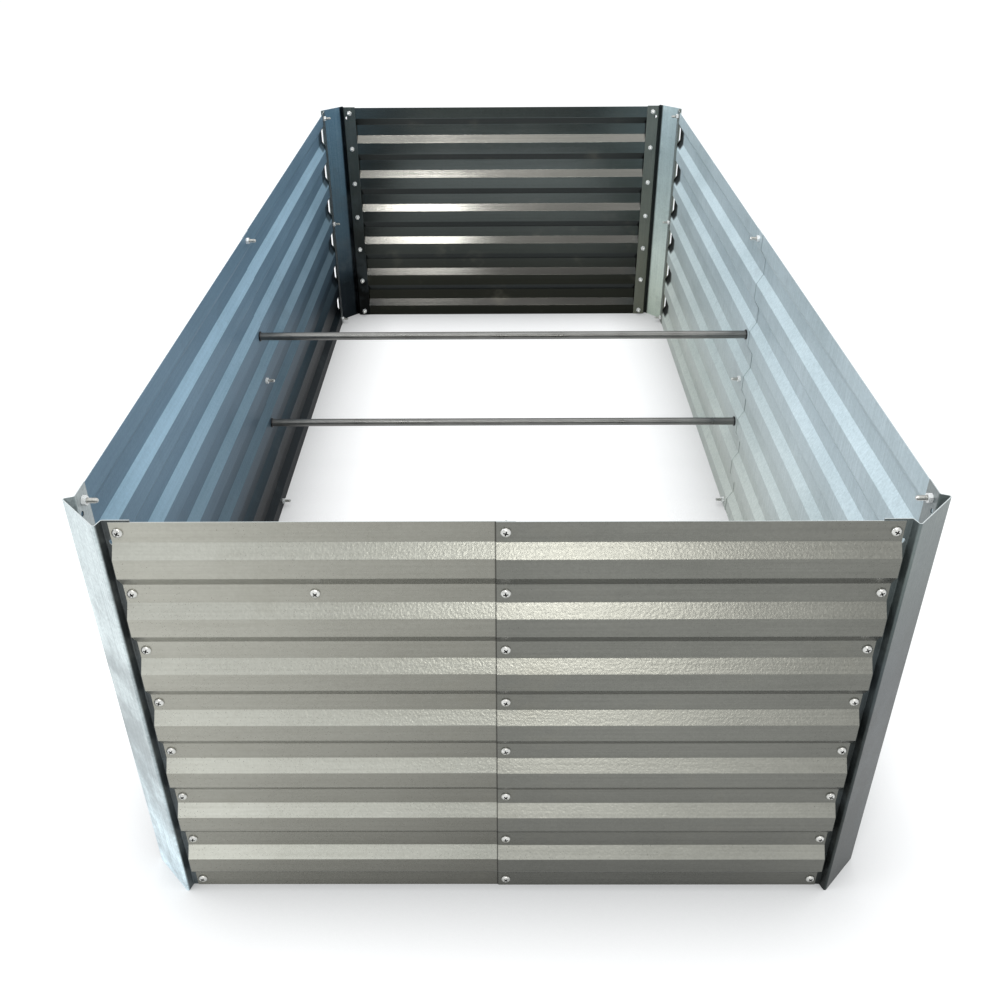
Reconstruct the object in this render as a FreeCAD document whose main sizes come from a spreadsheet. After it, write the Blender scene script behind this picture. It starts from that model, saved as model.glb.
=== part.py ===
import FreeCAD, Part

import os
import re
import Sketcher

# Raised garden bed of galvanised steel sheet, in millimetres, +Z up.
# The origin is on the ground, in the middle of the bed. X runs across the width and Y along the
# length, and the front end wall faces -Y. Four folded corner posts carry the corrugated walls:
# the front end wall is two lapped sheets with closer ribs, the back end wall is one sheet, and
# each long wall is two sheets lapped near mid-length, where two brace rods tie the walls together.
# Every piece of a wall is drawn as if for a wall whose outer plane is y = 0, with +Y inwards and
# X along the wall from its middle, and is then turned and moved to its wall.

SIZES = {
    "bed_width": 900,          # over the outer edges of the posts
    "bed_length": 1800,
    "bed_height": 566,         # to the top of the posts
    "post_rise": 2,            # from the top of the sheets to the top of the posts
    "post_thickness": 1,
    "bevel_leg": 50,           # each leg of the bevelled corner face
    "return_lean": 4,          # how far the fold behind the bevel runs along the wall
    "flange_width": 27.5,
    "sheet_thickness": 0.8,
    "rib_depth": 10,
    "front_ribs": 7,
    "front_crest": 23.5,       # flat outer face of a front rib
    "front_slope": 15,         # height of each sloping side of a front rib
    "wall_ribs": 6,
    "wall_crest": 27,
    "wall_slope": 17.5,
    "edge_margin": 12.5,       # from a sheet's upper or lower edge to its nearest bolt row
    "post_gap": 6,             # between the post's fold and the end of a sheet
    "end_margin": 7.5,         # from a sheet's end to its bolts at the post
    "front_lap_margin": 9.5,   # from a sheet's end to the bolts of the lap in the front wall
    "side_lap_margin": 18,     # and in the long walls
    "lap_offset": 50,          # of the long walls' laps and the rods, from mid-length to the front
    "lap_clearance": 0.02,     # between the nested sheets at a lap
    "hole_diameter": 6.8,
    "spare_hole_step": 7.5,    # spare hole in a post flange, from the bolt line towards the fold
    "spare_hole_drop": 12,     # and below the upper bolt
    "bolt_diameter": 6,
    "bolt_length": 18,
    "head_diameter": 11,
    "head_height": 3.2,
    "nut_width": 10,
    "nut_height": 5,
    "thread_clearance": 0.1,   # on the diameter of a nut's bore
    "lone_bolt_place": 195,    # the single bolt in the front wall, left of the middle
    "rod_diameter": 14,
    "rod_wall": 1.2,
    "plug_flange_diameter": 18,
    "plug_flange_thickness": 2.5,
    "plug_length": 25,         # of the part inside the rod
    "plug_clearance": 0.1,     # on the diameter of that part
}

document = FreeCAD.newDocument("RaisedGardenBed")
sizes = document.addObject("Spreadsheet::Sheet", "Sizes")
for row, (alias, value) in enumerate(SIZES.items(), start=1):
    sizes.set(f"A{row}", alias)
    sizes.set(f"B{row}", str(value))
    sizes.setAlias(f"B{row}", alias)
document.recompute()

# Lengths that follow from the sizes. Each is an expression on the cells of the sheet.
SHEET_HEIGHT = "(bed_height - post_rise)"
TOP_ROW = f"({SHEET_HEIGHT} - edge_margin)"
FRONT_PITCH = f"(({TOP_ROW} - edge_margin) / front_ribs)"
WALL_PITCH = f"(({TOP_ROW} - edge_margin) / wall_ribs)"
FRONT_FOLD = "(sqrt(rib_depth ^ 2 + front_slope ^ 2) / front_slope)"
WALL_FOLD = "(sqrt(rib_depth ^ 2 + wall_slope ^ 2) / wall_slope)"
# At a lap the outer sheet stands out until its sloping faces rest on those of the inner sheet.
LAP_STEP = f"(sheet_thickness * max({FRONT_FOLD}; {WALL_FOLD}) + lap_clearance)"
# The depth of a sheet's ribs below the outer plane of its wall.
OUTER_LAYER = "0"
INNER_LAYER = LAP_STEP
# Distances from the corner where the outer planes of two walls meet.
FOLD_FOOT = "(bevel_leg + return_lean)"
SHEET_END = f"({FOLD_FOOT} + post_gap)"
POST_BOLTS = f"({SHEET_END} + end_margin)"

# The four walls: how far each is turned from the front one, and where its outer plane stands.
WALLS = {
    "front": (0, "0", "-bed_length / 2"),
    "right": (90, "bed_width / 2", "0"),
    "back": (180, "0", "bed_length / 2"),
    "left": (-90, "-bed_width / 2", "0"),
}
# Bolt rows: the height of the lowest, the step between rows, and how many there are.
FRONT_ROWS = ("edge_margin", FRONT_PITCH, "front_ribs + 1")
BACK_ROWS = ("edge_margin", WALL_PITCH, "wall_ribs + 1")
# The long walls are bolted in the lowest, the middle and the highest valley only.
SIDE_ROWS = ("edge_margin", f"({WALL_PITCH} * wall_ribs / 2)", "3")
# The brace rods are in the valleys next to the middle one.
ROD_ROWS = (f"(edge_margin + {WALL_PITCH} * (wall_ribs / 2 - 1))", f"(2 * {WALL_PITCH})", "2")
LONE_ROW = (f"({TOP_ROW} - {FRONT_PITCH})", "0", "1")

# Rib pitch, crest, slope and number of ribs.
FRONT_RIBS = (FRONT_PITCH, "front_crest", "front_slope", "front_ribs")
WALL_RIBS = (WALL_PITCH, "wall_crest", "wall_slope", "wall_ribs")

parts = []


def valley(layer):
    """Depth of the valleys of a sheet, where the bolt heads rest."""
    return f"({layer} + rib_depth)"


def back(layer):
    """Depth of the inner face of a sheet's valleys."""
    return f"({layer} + rib_depth + sheet_thickness)"


def bound(text):
    """The expression with every size written as a reference to its cell."""
    return re.sub(r"[a-z_]+", lambda word: "Sizes." + word[0] if word[0] in SIZES else word[0], text)


def value(text):
    return float(sizes.evalExpression(bound(text)))


def origin_feature(body, role):
    return next(feature for feature in body.Origin.OriginFeatures if feature.Role == role)


def new_body(name):
    body = document.addObject("PartDesign::Body", name)
    body.Label = name
    parts.append(body)
    return body


def place(body, wall):
    """Turn a body that was drawn for the front wall and set it on the named wall."""
    angle, x, y = WALLS[wall]
    body.Placement = FreeCAD.Placement(FreeCAD.Vector(), FreeCAD.Rotation(FreeCAD.Vector(0, 0, 1), angle))
    body.setExpression("Placement.Base.x", bound(x))
    body.setExpression("Placement.Base.y", bound(y))


def new_sketch(body, name, plane, offset="0"):
    """A sketch on one of the body's own origin planes, moved along the normal of that plane."""
    sketch = body.newObject("Sketcher::SketchObject", name)
    sketch.AttachmentSupport = [(origin_feature(body, plane), "")]
    sketch.MapMode = "FlatFace"
    sketch.setExpression("AttachmentOffset.Base.z", bound(offset))
    return sketch


def fix_point(sketch, line, end, point):
    """Tie one end of a line to two expressions for its coordinates."""
    for kind, axis in (("DistanceX", 0), ("DistanceY", 1)):
        index = sketch.addConstraint(Sketcher.Constraint(kind, -1, 1, line, end, value(point[axis])))
        sketch.setExpression(f"Constraints[{index}]", bound(point[axis]))


def point_at(x, y):
    return FreeCAD.Vector(value(x), value(y), 0)


def draw_polygon(sketch, points):
    """A closed outline through the points, each a pair of expressions."""
    corners = [point_at(*point) for point in points]
    following = corners[1:] + corners[:1]
    lines = [sketch.addGeometry(Part.LineSegment(a, b)) for a, b in zip(corners, following)]
    for line, following in zip(lines, lines[1:] + lines[:1]):
        sketch.addConstraint(Sketcher.Constraint("Coincident", line, 2, following, 1))
    for line, point in zip(lines, points):
        fix_point(sketch, line, 1, point)


def draw_circle(sketch, centre, diameter):
    up = FreeCAD.Vector(0, 0, 1)
    circle = sketch.addGeometry(Part.Circle(point_at(*centre), up, value(diameter) / 2))
    fix_point(sketch, circle, 3, centre)
    index = sketch.addConstraint(Sketcher.Constraint("Diameter", circle, value(diameter)))
    sketch.setExpression(f"Constraints[{index}]", bound(diameter))


def draw_octagon(sketch, centre, across):
    """A small round outline drawn with eight sides, of the given width across its flats."""
    x, y = centre
    flat, shoulder = f"{across} / 2", f"{across} / 2 * (sqrt(2) - 1)"
    corners = [(flat, shoulder), (shoulder, flat), (f"-{shoulder}", flat), (f"-{flat}", shoulder),
               (f"-{flat}", f"-{shoulder}"), (f"-{shoulder}", f"-{flat}"), (shoulder, f"-{flat}"),
               (flat, f"-{shoulder}")]
    draw_polygon(sketch, [(f"{x} + {u}", f"{y} + {v}") for u, v in corners])


def draw_folded_strip(sketch, points, thickness):
    """The section of a folded sheet. The points give one face; the sheet lies to their left."""
    outer = [point_at(*point) for point in points]
    along = [(b - a).normalize() for a, b in zip(outer, outer[1:])]
    left = [FreeCAD.Vector(-d.y, d.x, 0) for d in along]
    depth = value(thickness)
    inner = [outer[0] + left[0] * depth]
    for corner, before, after in zip(outer[1:], left, left[1:]):
        inner.append(corner + (before + after) * (depth / (1 + before.dot(after))))
    inner.append(outer[-1] + left[-1] * depth)
    faces = [sketch.addGeometry(Part.LineSegment(a, b)) for a, b in zip(outer, outer[1:])]
    backs = [sketch.addGeometry(Part.LineSegment(a, b)) for a, b in zip(inner, inner[1:])]
    for run in (faces, backs):
        for line, following in zip(run, run[1:]):
            sketch.addConstraint(Sketcher.Constraint("Coincident", line, 2, following, 1))
    for line, point in zip(faces, points):
        fix_point(sketch, line, 1, point)
    fix_point(sketch, faces[-1], 2, points[-1])
    for face, rear in zip(faces, backs):
        sketch.addConstraint(Sketcher.Constraint("Parallel", face, rear))
        index = sketch.addConstraint(Sketcher.Constraint("Distance", rear, 1, face, depth))
        sketch.setExpression(f"Constraints[{index}]", bound(thickness))
    for line, rear, end, edge in ((faces[0], backs[0], 1, (outer[0], inner[0])),
                                  (faces[-1], backs[-1], 2, (outer[-1], inner[-1]))):
        cap = sketch.addGeometry(Part.LineSegment(*edge))
        sketch.addConstraint(Sketcher.Constraint("Coincident", cap, 1, line, end))
        sketch.addConstraint(Sketcher.Constraint("Coincident", cap, 2, rear, end))
        sketch.addConstraint(Sketcher.Constraint("Perpendicular", cap, line))


def pad(body, sketch, length, reverse=False):
    feature = body.newObject("PartDesign::Pad", f"{sketch.Name}_pad")
    feature.Profile = (sketch, [""])
    feature.setExpression("Length", bound(length))
    feature.Reversed = reverse
    body.Tip = feature
    return feature


def bore(body, sketch):
    """Cut the sketch through the body both ways from its plane."""
    feature = body.newObject("PartDesign::Pocket", f"{sketch.Name}_pocket")
    feature.Profile = (sketch, [""])
    feature.Type = "ThroughAll"
    feature.Midplane = True
    body.Tip = feature
    return feature


def repeat_upwards(body, features, step, count):
    """Repeat features up the Z axis of their body: count copies in all, one step apart."""
    if count == "1":
        return
    pattern = body.newObject("PartDesign::LinearPattern", f"{features[-1].Name}_rows")
    pattern.Originals = features
    pattern.Direction = (origin_feature(body, "Z_Axis"), [""])
    pattern.setExpression("Length", bound(f"{step} * ({count} - 1)"))
    pattern.setExpression("Occurrences", bound(count))
    body.Tip = pattern


def mirror_across(body, features):
    """Mirror features to the other side of their body's YZ plane."""
    mirror = body.newObject("PartDesign::Mirrored", f"{body.Name}_mirror")
    mirror.Originals = features
    mirror.MirrorPlane = (origin_feature(body, "YZ_Plane"), [""])
    body.Tip = mirror


def make_sheet(name, wall, layer, start, end, ribs, holes):
    """A corrugated sheet between two places along a wall. Holes are given as places along the
    wall and the rows that they repeat in."""
    pitch, crest, slope, count = ribs
    body = new_body(name)
    deep = valley(layer)
    half_valley = f"(({pitch} - {crest} - 2 * {slope}) / 2)"
    length = f"({end} - ({start}))"
    section = [
        (deep, f"edge_margin + {pitch}"),
        (deep, f"edge_margin + {pitch} - {half_valley}"),
        (layer, f"edge_margin + {half_valley} + {slope} + {crest}"),
        (layer, f"edge_margin + {half_valley} + {slope}"),
        (deep, f"edge_margin + {half_valley}"),
        (deep, "edge_margin"),
    ]
    rib = new_sketch(body, f"{name}_rib", "YZ_Plane", start)
    draw_folded_strip(rib, section, "sheet_thickness")
    repeat_upwards(body, [pad(body, rib, length)], pitch, count)
    edges = new_sketch(body, f"{name}_edges", "YZ_Plane", start)
    for low, high in (("0", "edge_margin"), (TOP_ROW, SHEET_HEIGHT)):
        draw_polygon(edges, [(deep, low), (back(layer), low), (back(layer), high), (deep, high)])
    pad(body, edges, length)
    for number, (places, (first, step, row_count)) in enumerate(holes, start=1):
        sketch = new_sketch(body, f"{name}_holes_{number}", "XZ_Plane")
        for x in places:
            draw_octagon(sketch, (x, first), "hole_diameter")
        repeat_upwards(body, [bore(body, sketch)], step, row_count)
    place(body, wall)


def make_post(name, angle, x_flange, y_flange):
    """A corner post, drawn for a corner at the origin whose walls run along +X and +Y and turned
    about the middle of the bed. A flange is given as its bolt rows and the layer of its sheet."""
    body = new_body(name)
    foot, tip = FOLD_FOOT, f"{FOLD_FOOT} + flange_width"
    x_rows, x_layer = x_flange
    y_rows, y_layer = y_flange
    section = new_sketch(body, f"{name}_section", "XY_Plane")
    points = [(back(y_layer), tip), (back(y_layer), foot), ("0", "bevel_leg"),
              ("bevel_leg", "0"), (foot, back(x_layer)), (tip, back(x_layer))]
    draw_folded_strip(section, points, "post_thickness")
    pad(body, section, "bed_height")
    for plane, (first, step, count) in (("XZ_Plane", x_rows), ("YZ_Plane", y_rows)):
        holes = new_sketch(body, f"{name}_{plane[:2]}_holes", plane)
        draw_octagon(holes, (POST_BOLTS, first), "hole_diameter")
        repeat_upwards(body, [bore(body, holes)], step, count)
        spare = new_sketch(body, f"{name}_{plane[:2]}_spare_hole", plane)
        centre = (f"{POST_BOLTS} - spare_hole_step", f"{TOP_ROW} - spare_hole_drop")
        draw_octagon(spare, centre, "hole_diameter")
        bore(body, spare)
    x_side = "-" if angle in (0, -90) else ""
    y_side = "-" if angle in (0, 90) else ""
    turn = FreeCAD.Rotation(FreeCAD.Vector(0, 0, 1), angle)
    body.Placement = FreeCAD.Placement(FreeCAD.Vector(), turn)
    body.setExpression("Placement.Base.x", bound(f"{x_side}bed_width / 2"))
    body.setExpression("Placement.Base.y", bound(f"{y_side}bed_length / 2"))


def make_bolts(name, wall, x, seat, rows):
    """Bolts through a wall, with their heads on the plane y = seat."""
    first, step, count = rows
    body = new_body(name)
    features = []
    for part, across, length, inwards in (("head", "head_diameter", "head_height", False),
                                          ("shank", "bolt_diameter", "bolt_length", True)):
        sketch = new_sketch(body, f"{name}_{part}", "XZ_Plane", f"-{seat}")
        draw_octagon(sketch, (x, first), across)
        features.append(pad(body, sketch, length, reverse=inwards))
    repeat_upwards(body, features, step, count)
    place(body, wall)


def make_nuts(name, wall, x, seat, rows):
    """Hexagon nuts on the inner side of a wall, with one face on the plane y = seat."""
    first, step, count = rows
    body = new_body(name)
    sketch = new_sketch(body, f"{name}_outline", "XZ_Plane", f"-({seat})")
    half, point, shoulder = "nut_width / 2", "nut_width / sqrt(3)", "nut_width / (2 * sqrt(3))"
    corners = [("0", point), (half, shoulder), (half, f"-{shoulder}"),
               ("0", f"-{point}"), (f"-{half}", f"-{shoulder}"), (f"-{half}", shoulder)]
    draw_polygon(sketch, [(f"{x} + {u}", f"{first} + {v}") for u, v in corners])
    draw_octagon(sketch, (x, first), "(bolt_diameter + thread_clearance)")
    repeat_upwards(body, [pad(body, sketch, "nut_height", reverse=True)], step, count)
    place(body, wall)


def fasten_to_post(name, wall, x, layer, rows):
    make_bolts(f"{name}_bolts", wall, x, valley(layer), rows)
    make_nuts(f"{name}_nuts", wall, x, f"({back(layer)} + post_thickness)", rows)


def fasten_lap(name, wall, x, rows):
    make_bolts(f"{name}_bolts", wall, x, valley(OUTER_LAYER), rows)
    make_nuts(f"{name}_nuts", wall, x, back(INNER_LAYER), rows)


def make_brace(level, height):
    """A brace rod, and the flanged plugs that stand between its ends and the long walls."""
    centre = ("-lap_offset", height)
    wall_face = f"(bed_width / 2 - {back(INNER_LAYER)})"
    rod_end = f"({wall_face} - plug_flange_thickness)"
    rod_bore = "(rod_diameter - 2 * rod_wall)"
    rod = new_body(f"{level}_brace_rod")
    section = new_sketch(rod, f"{level}_rod_section", "YZ_Plane", f"-{rod_end}")
    draw_circle(section, centre, "rod_diameter")
    draw_circle(section, centre, rod_bore)
    pad(rod, section, f"2 * {rod_end}")
    plugs = new_body(f"{level}_rod_plugs")
    features = []
    for part, start, diameter, length in (
            ("flange", wall_face, "plug_flange_diameter", "plug_flange_thickness"),
            ("spigot", rod_end, f"{rod_bore} - plug_clearance", "plug_length")):
        sketch = new_sketch(plugs, f"{level}_plug_{part}", "YZ_Plane", f"-{start}")
        draw_circle(sketch, centre, diameter)
        draw_octagon(sketch, centre, "(bolt_diameter + thread_clearance)")
        features.append(pad(plugs, sketch, length))
    mirror_across(plugs, features)


# Ends of the sheets and bolt lines at the posts, from the middle of a short and a long wall.
SHORT_END = f"(bed_width / 2 - {SHEET_END})"
LONG_END = f"(bed_length / 2 - {SHEET_END})"
SHORT_BOLTS = f"(bed_width / 2 - {POST_BOLTS})"
LONG_BOLTS = f"(bed_length / 2 - {POST_BOLTS})"

# Front end wall: the right sheet laps over the left one at the middle, and the left one has a
# single bolt by itself.
make_sheet("front_left_sheet", "front", INNER_LAYER, f"-{SHORT_END}", "front_lap_margin", FRONT_RIBS,
           [([f"-{SHORT_BOLTS}", "0"], FRONT_ROWS), (["-lone_bolt_place"], LONE_ROW)])
make_sheet("front_right_sheet", "front", OUTER_LAYER, "-front_lap_margin", SHORT_END, FRONT_RIBS,
           [(["0", SHORT_BOLTS], FRONT_ROWS)])
fasten_to_post("front_left", "front", f"-{SHORT_BOLTS}", INNER_LAYER, FRONT_ROWS)
fasten_to_post("front_right", "front", SHORT_BOLTS, OUTER_LAYER, FRONT_ROWS)
fasten_lap("front_lap", "front", "0", FRONT_ROWS)
make_bolts("front_lone_bolt", "front", "-lone_bolt_place", valley(INNER_LAYER), LONE_ROW)
make_nuts("front_lone_nut", "front", "-lone_bolt_place", back(INNER_LAYER), LONE_ROW)

# Back end wall: one sheet. Seen from outside, the left side of the bed is on the right.
make_sheet("back_sheet", "back", OUTER_LAYER, f"-{SHORT_END}", SHORT_END, WALL_RIBS,
           [([f"-{SHORT_BOLTS}", SHORT_BOLTS], BACK_ROWS)])
fasten_to_post("back_left", "back", SHORT_BOLTS, OUTER_LAYER, BACK_ROWS)
fasten_to_post("back_right", "back", f"-{SHORT_BOLTS}", OUTER_LAYER, BACK_ROWS)

# Long walls. Seen from outside, the sheet on the left laps over the one on the right in both:
# that is the front sheet of the right wall and the back sheet of the left wall.
for wall, left_sheet, right_sheet, lap in (("right", "front", "back", "-lap_offset"),
                                           ("left", "back", "front", "lap_offset")):
    make_sheet(f"{wall}_{left_sheet}_sheet", wall, OUTER_LAYER, f"-{LONG_END}",
               f"({lap} + side_lap_margin)", WALL_RIBS,
               [([f"-{LONG_BOLTS}", lap], SIDE_ROWS), ([lap], ROD_ROWS)])
    make_sheet(f"{wall}_{right_sheet}_sheet", wall, INNER_LAYER, f"({lap} - side_lap_margin)",
               LONG_END, WALL_RIBS,
               [([lap, LONG_BOLTS], SIDE_ROWS), ([lap], ROD_ROWS)])
    fasten_to_post(f"{wall}_{left_sheet}", wall, f"-{LONG_BOLTS}", OUTER_LAYER, SIDE_ROWS)
    fasten_to_post(f"{wall}_{right_sheet}", wall, LONG_BOLTS, INNER_LAYER, SIDE_ROWS)
    fasten_lap(f"{wall}_lap", wall, lap, SIDE_ROWS)
    make_bolts(f"{wall}_rod_bolts", wall, lap, valley(OUTER_LAYER), ROD_ROWS)

make_post("front_left_post", 0, (FRONT_ROWS, INNER_LAYER), (SIDE_ROWS, INNER_LAYER))
make_post("front_right_post", 90, (SIDE_ROWS, OUTER_LAYER), (FRONT_ROWS, OUTER_LAYER))
make_post("back_right_post", 180, (BACK_ROWS, OUTER_LAYER), (SIDE_ROWS, INNER_LAYER))
make_post("back_left_post", -90, (SIDE_ROWS, OUTER_LAYER), (BACK_ROWS, OUTER_LAYER))

lower_rod, rod_step, _ = ROD_ROWS
make_brace("lower", lower_rod)
make_brace("upper", f"({lower_rod} + {rod_step})")

document.recompute()

for feature in document.Objects:
    if any(flag in feature.State for flag in ("Invalid", "Error")):
        raise RuntimeError(f"{feature.Label} did not build: {feature.State}")
for body in parts:
    if body.Shape.isNull() or not body.Shape.isValid():
        raise RuntimeError(f"{body.Label} has no valid shape")

os.makedirs("parts", exist_ok=True)
for body in parts:
    body.Shape.exportStep(f"parts/{body.Label}.step")
    print(f"{body.Label}: {len(body.Shape.Solids)} solids, {body.Shape.Volume:.1f} cubic mm")
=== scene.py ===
import math
import random

import bmesh
import bpy
from mathutils import Matrix, Vector


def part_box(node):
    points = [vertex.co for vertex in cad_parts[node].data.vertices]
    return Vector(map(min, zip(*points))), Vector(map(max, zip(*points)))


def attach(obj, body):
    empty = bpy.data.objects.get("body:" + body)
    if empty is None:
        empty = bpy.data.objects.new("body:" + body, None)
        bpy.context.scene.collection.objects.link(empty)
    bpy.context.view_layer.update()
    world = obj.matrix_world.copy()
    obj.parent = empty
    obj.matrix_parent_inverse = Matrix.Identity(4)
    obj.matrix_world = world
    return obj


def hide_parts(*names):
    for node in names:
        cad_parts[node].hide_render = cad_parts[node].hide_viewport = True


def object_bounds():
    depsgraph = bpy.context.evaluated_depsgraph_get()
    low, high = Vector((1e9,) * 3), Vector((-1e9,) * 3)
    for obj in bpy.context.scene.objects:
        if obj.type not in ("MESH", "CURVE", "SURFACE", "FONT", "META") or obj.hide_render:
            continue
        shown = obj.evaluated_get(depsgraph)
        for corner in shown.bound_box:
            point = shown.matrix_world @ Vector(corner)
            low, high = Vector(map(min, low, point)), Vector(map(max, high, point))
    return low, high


# Looks of the raised garden bed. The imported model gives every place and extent. The folded sheets
# and posts are built again here with their real bend radii, and the fasteners with their real
# heads, recesses, threads and chamfers, each in the place of its node. Lengths are in metres.

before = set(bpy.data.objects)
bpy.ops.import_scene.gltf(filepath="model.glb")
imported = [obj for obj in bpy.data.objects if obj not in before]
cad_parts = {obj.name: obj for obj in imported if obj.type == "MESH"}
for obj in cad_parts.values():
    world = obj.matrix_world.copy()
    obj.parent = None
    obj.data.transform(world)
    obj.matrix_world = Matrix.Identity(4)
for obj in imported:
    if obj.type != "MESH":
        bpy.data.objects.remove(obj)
cad_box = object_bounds()
chance = random.Random(7)

BOLT_NODES = sorted(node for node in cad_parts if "bolt" in node)
NUT_NODES = sorted(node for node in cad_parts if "nut" in node)

MM = 0.001

SHEET_THICKNESS = 0.8 * MM
POST_THICKNESS = 1.0 * MM
BEND_RADIUS = 1.9 * MM         # to the middle of the sheet
BEND_STEPS = 4
SHARP_ANGLE = 35               # degrees from which an edge is shaded as sharp
RIB_DEPTH = 10 * MM
EDGE_MARGIN = 12.5 * MM        # from a sheet's edge to its nearest bolt row
HOLE_DIAMETER = 6.8 * MM
HOLE_SIDES = 24
DRILL_LENGTH = 12 * MM

# Number of ribs, flat crest, height of each slope.
RIBS = {
    "front": (7, 23.5 * MM, 15 * MM),
    "back": (6, 27 * MM, 17.5 * MM),
    "left": (6, 27 * MM, 17.5 * MM),
    "right": (6, 27 * MM, 17.5 * MM),
}

BEVEL_LEG = 50 * MM
FOLD_FOOT = 54 * MM            # where a post's bolting flange starts, from the corner
SPARE_HOLE_STEP = 7.5 * MM     # from the bolt line towards the fold
SPARE_HOLE_DROP = 12 * MM      # below the upper bolt

HEAD_HEIGHT = 3.2 * MM
HEAD_RADIUS = 5.5 * MM
# The dome of a head and the outline of its rim, as shares of the head's radius and height.
DOME_RADIUS = 0.94
DOME_FOOT = 0.42
DOME_RISE = 0.58
DOME_ANGLES = 20, 40, 60       # degrees from the axis
HEAD_RIM = (0.97, 0.48), (1, 0.3), (1, 0.1), (0.96, 0)
# The cross recess at its mouth and its floor: place on the axis, length and half width of an arm.
RECESS_MOUTH = -HEAD_HEIGHT - 0.4 * MM, 3.2 * MM, 0.85 * MM
RECESS_FLOOR = -HEAD_HEIGHT + 2.0 * MM, 1.6 * MM, 0.40 * MM

SHANK_RADIUS = 3.0 * MM
SHANK_LENGTH = 2.4 * MM        # the plain part under the head
CORE_START = 3.0 * MM
BOLT_SIDES = 24
TIP_LENGTH = 0.9 * MM
TIP_TAPER = 0.8 * MM
THREAD_START = 3.4 * MM
THREAD_PITCH = 1.0 * MM
THREAD_DEPTH = 0.55 * MM
THREAD_FOOT = 0.42             # half the ridge's width, as a share of the pitch
THREAD_SINK = 0.1 * MM         # how far the ridge reaches into the core
TURN_STEPS = 14                # facets of one turn of a thread

NUT_WIDTH = 10 * MM
NUT_SIDES = 36
NUT_FACE = NUT_WIDTH / 2 * 0.97    # radius of the flat face inside the chamfer
CHAMFER_SLOPE = math.tan(math.radians(30))
NUT_BORE = SHANK_RADIUS + 0.05 * MM
BORE_CHAMFER_WIDTH = 0.4 * MM
BORE_CHAMFER_DEPTH = 0.5 * MM

PLUG_SIDES = 40
PLUG_FLANGE = 2.5 * MM         # thickness
PLUG_RADIUS = 5.75 * MM
PLUG_LENGTH = 27.5 * MM
PLUG_CHAMFER = 0.5 * MM
FLANGE_ROUNDING = 0.7 * MM
ROUNDING_MIDDLE = 0.2 * MM

# Each wall as seen from outside: how far it is turned from the front one, and its outer plane.
WALLS = {
    "front": (0, Vector((0, cad_box[0][1], 0))),
    "right": (90, Vector((cad_box[1][0], 0, 0))),
    "back": (180, Vector((0, cad_box[1][1], 0))),
    "left": (-90, Vector((cad_box[0][0], 0, 0))),
}
# Bolts above each other in a wall.
BOLT_ROWS = {"front": 8, "back": 7, "left": 3, "right": 3}


def wall_matrix(wall):
    """From a wall's own frame, X along it and Y inwards from its outer plane, to the bed's."""
    angle, base = WALLS[wall]
    return Matrix.Translation(base) @ Matrix.Rotation(math.radians(angle), 4, "Z")


def box_on_wall(node, wall):
    """The lowest and highest corners of a node in a wall's own frame."""
    to_wall = wall_matrix(wall).inverted()
    ends = [to_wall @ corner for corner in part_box(node)]
    low = Vector([min(pair) for pair in zip(*ends)])
    high = Vector([max(pair) for pair in zip(*ends)])
    return low, high


def as_object(name, mesh_code, materials=()):
    """A mesh object from a bmesh, which is used up."""
    mesh = bpy.data.meshes.new(name)
    bmesh.ops.recalc_face_normals(mesh_code, faces=mesh_code.faces)
    mesh_code.to_mesh(mesh)
    mesh_code.free()
    for material in materials:
        mesh.materials.append(material)
    piece = bpy.data.objects.new(name, mesh)
    bpy.context.scene.collection.objects.link(piece)
    return piece


def remove_object(piece):
    mesh = piece.data
    bpy.data.objects.remove(piece)
    bpy.data.meshes.remove(mesh)


def new_piece(name, mesh_code, matrix, materials, node):
    """A finished piece in the place of a node: it rides on the bed, and the node is hidden."""
    mesh_code.transform(matrix)
    piece = as_object(name, mesh_code, materials)
    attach(piece, "root")
    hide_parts(node)
    return piece


def apply_modifiers(piece):
    """Give a piece the mesh that its modifiers make."""
    graph = bpy.context.evaluated_depsgraph_get()
    graph.update()
    finished = bpy.data.meshes.new_from_object(piece.evaluated_get(graph))
    finished.name = piece.name
    piece.modifiers.clear()
    piece.data = finished


def cut_away(piece, cutter, material_mode="INDEX"):
    """Cut a mesh object out of a piece, and remove it."""
    cut = piece.modifiers.new("cut", "BOOLEAN")
    cut.operation = "DIFFERENCE"
    cut.solver = "EXACT"
    cut.material_mode = material_mode
    cut.object = cutter
    apply_modifiers(piece)
    remove_object(cutter)


def smooth_folds(piece):
    """Smooth shading over the bends, with the flat faces kept flat."""
    piece.data.shade_smooth()
    piece.data.set_sharp_from_angle(angle=math.radians(SHARP_ANGLE))
    flats = piece.modifiers.new("flats", "WEIGHTED_NORMAL")
    flats.keep_sharp = True
    apply_modifiers(piece)


def join_rings(mesh_code, a, b):
    """Faces between two closed rings of vertices. A ring may be one vertex, repeated."""
    for i in range(len(a)):
        j = (i + 1) % len(a)
        corners = dict.fromkeys((a[i], a[j], b[j], b[i]))
        mesh_code.faces.new(tuple(corners))


# ---------------------------------------------------------------- folded sheet metal


def mitred(points, distance):
    """The open polyline moved sideways, to the left of its direction, with mitred corners."""
    along = [(b - a).normalized() for a, b in zip(points, points[1:])]
    left = [Vector((-d.y, d.x)) for d in along]
    moved = [points[0] + left[0] * distance]
    for corner, before, after in zip(points[1:], left, left[1:]):
        moved.append(corner + (before + after) * (distance / (1 + before.dot(after))))
    moved.append(points[-1] + left[-1] * distance)
    return moved


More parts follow.
